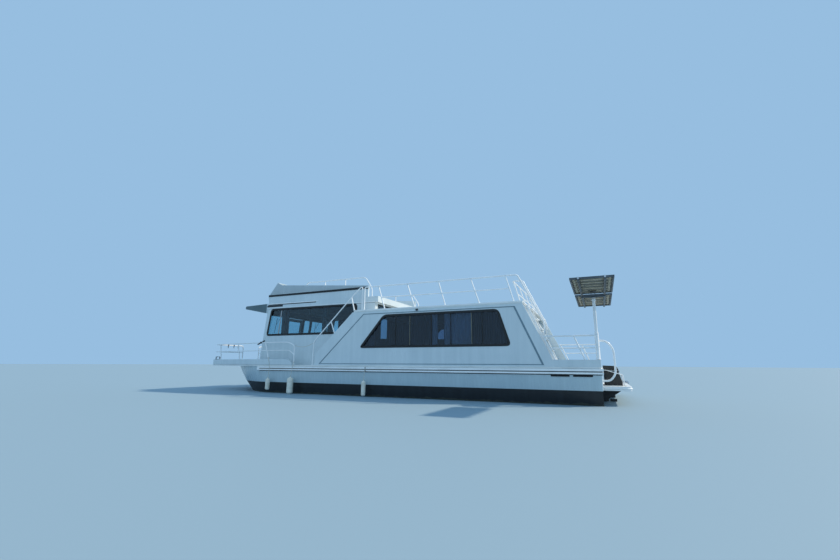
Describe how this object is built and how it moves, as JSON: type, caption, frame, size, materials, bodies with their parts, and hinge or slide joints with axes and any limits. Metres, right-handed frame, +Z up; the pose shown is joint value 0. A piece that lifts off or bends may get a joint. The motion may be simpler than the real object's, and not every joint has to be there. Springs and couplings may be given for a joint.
{
  "type": "coastal houseboat",
  "caption": "Houseboat with a full hull, raised pilothouse, full-width aft cabin, flybridge, roof deck, rails, solar mast and steered stern drives.",
  "frame": {"origin": "on the centreline at the waterline, midway along the hull", "axes": "+X to the bow, +Y to port, +Z up"},
  "size_m": [12.432, 5.8195, 3.97],
  "materials": {
    "hull_paint": "gloss white gelcoat with a black bottom",
    "gelcoat": "satin white gelcoat",
    "deck_paint": "non-skid deck paint",
    "vinyl": "white vinyl",
    "rail_tube": "gloss white coated tube",
    "tinted_glass": "dark tinted glass",
    "dark_plastic": "dark plastic",
    "cushion": "vinyl-covered cushion",
    "rope": "braided rope",
    "drive_paint": "dark grey paint",
    "bronze": "dull bronze",
    "solar_cells": "aluminium frames with dark cells",
    "joinery": "satin varnished joinery"
  },
  "bodies": {
    "boat": {"bow_rail_port": "rail_tube", "bow_rail_starboard": "rail_tube", "bulwark": "gelcoat", "cabin_aft_bulkhead": "gelcoat", "cabin_glass_port": "tinted_glass", "cabin_glass_starboard": "tinted_glass", "cabin_roof": "deck_paint", "cabin_side_port": "gelcoat", "cabin_side_starboard": "gelcoat", "deck": "deck_paint", "engine": "drive_paint", "fender_1": "vinyl", "fender_2": "vinyl", "fender_3": "vinyl", "flybridge_coaming": "gelcoat", "flybridge_rail_port": "rail_tube", "flybridge_rail_starboard": "rail_tube", "flybridge_seat": "cushion", "gate_rope_port": "rope", "gate_rope_starboard": "rope", "hull": "hull_paint", "pilot_console": "joinery", "pilot_seat": "cushion", "pilothouse_aft_glass": "tinted_glass", "pilothouse_aft_wall": "gelcoat", "pilothouse_front": "gelcoat", "pilothouse_glass_port": "tinted_glass", "pilothouse_glass_starboard": "tinted_glass", "pilothouse_roof": "gelcoat", "pilothouse_side_port": "gelcoat", "pilothouse_side_starboard": "gelcoat", "roof_ladder": "rail_tube", "roof_rail_port": "rail_tube", "roof_rail_starboard": "rail_tube", "rub_rail_port": "vinyl", "rub_rail_starboard": "vinyl", "side_stairs_port": "deck_paint", "side_stairs_starboard": "deck_paint", "solar_mast": "rail_tube", "stair_rail_port": "rail_tube", "stair_rail_starboard": "rail_tube", "stern_rail_port": "rail_tube", "stern_rail_starboard": "rail_tube", "swim_platform": "gelcoat", "transom_wall": "gelcoat", "windshield_port": "tinted_glass", "windshield_starboard": "tinted_glass"},
    "front_door": {"front_door": "gelcoat", "front_door_glass": "tinted_glass"},
    "aft_door": {"aft_door": "gelcoat", "aft_door_glass": "tinted_glass"},
    "engine_hatch": {"engine_hatch": "deck_paint"},
    "swim_ladder": {"swim_ladder": "rail_tube"},
    "solar_array": {"solar_array": "solar_cells"},
    "pilot_wheel": {"pilot_wheel": "dark_plastic"},
    "flybridge_wheel": {"flybridge_wheel": "dark_plastic"},
    "drive_port": {"drive_port": "drive_paint"},
    "drive_starboard": {"drive_starboard": "drive_paint"},
    "propeller_port": {"propeller_port": "bronze"},
    "propeller_starboard": {"propeller_starboard": "bronze"}
  },
  "joints": [
    {"name": "front_door_swing", "type": "hinge", "parent": "boat", "child": "front_door", "pos_m": [3.6905, -0.022, 1.6], "axis": [0.1135, 0, -0.9935], "range_deg": [0, 100]},
    {"name": "aft_door_swing", "type": "hinge", "parent": "boat", "child": "aft_door", "pos_m": [-4.4472, -0.912, 1.6], "axis": [0.3917, 0, 0.9201], "range_deg": [0, 90]},
    {"name": "engine_hatch_lift", "type": "hinge", "parent": "boat", "child": "engine_hatch", "pos_m": [-5.655, 0, 0.42], "axis": [0, -1, 0], "range_deg": [0, 80]},
    {"name": "swim_ladder_fold", "type": "hinge", "parent": "boat", "child": "swim_ladder", "pos_m": [-6.482, -0.36, 0.41], "axis": [0, -1, 0], "range_deg": [0, 255]},
    {"name": "solar_tilt", "type": "hinge", "parent": "boat", "child": "solar_array", "pos_m": [-5.868, 2.036, 2.2], "axis": [1, 0, 0], "range_deg": [-25, 25]},
    {"name": "pilot_wheel_turn", "type": "hinge", "parent": "boat", "child": "pilot_wheel", "pos_m": [2.985, -1.03, 1.33], "axis": [-0.9128, 0, 0.4085], "range_deg": [-540, 540]},
    {"name": "flybridge_wheel_turn", "type": "hinge", "parent": "boat", "child": "flybridge_wheel", "pos_m": [2.965, -0.65, 2.96], "axis": [-0.8912, 0, 0.4536], "range_deg": [-540, 540]},
    {"name": "drive_port_steer", "type": "hinge", "parent": "boat", "child": "drive_port", "pos_m": [-6.06, 0.62, -0.2], "axis": [0, 0, 1], "range_deg": [-25, 25]},
    {"name": "drive_starboard_steer", "type": "hinge", "parent": "boat", "child": "drive_starboard", "pos_m": [-6.06, -0.62, -0.2], "axis": [0, 0, 1], "range_deg": [-25, 25]},
    {"name": "propeller_port_spin", "type": "hinge", "parent": "drive_port", "child": "propeller_port", "pos_m": [-6.365, 0.62, -0.465], "axis": [1, 0, 0], "continuous": true},
    {"name": "propeller_starboard_spin", "type": "hinge", "parent": "drive_starboard", "child": "propeller_starboard", "pos_m": [-6.365, -0.62, -0.465], "axis": [1, 0, 0], "continuous": true}
  ],
  "couplings": [
    {"joint": "drive_starboard_steer", "follows": "drive_port_steer", "ratio": 1}
  ]
}
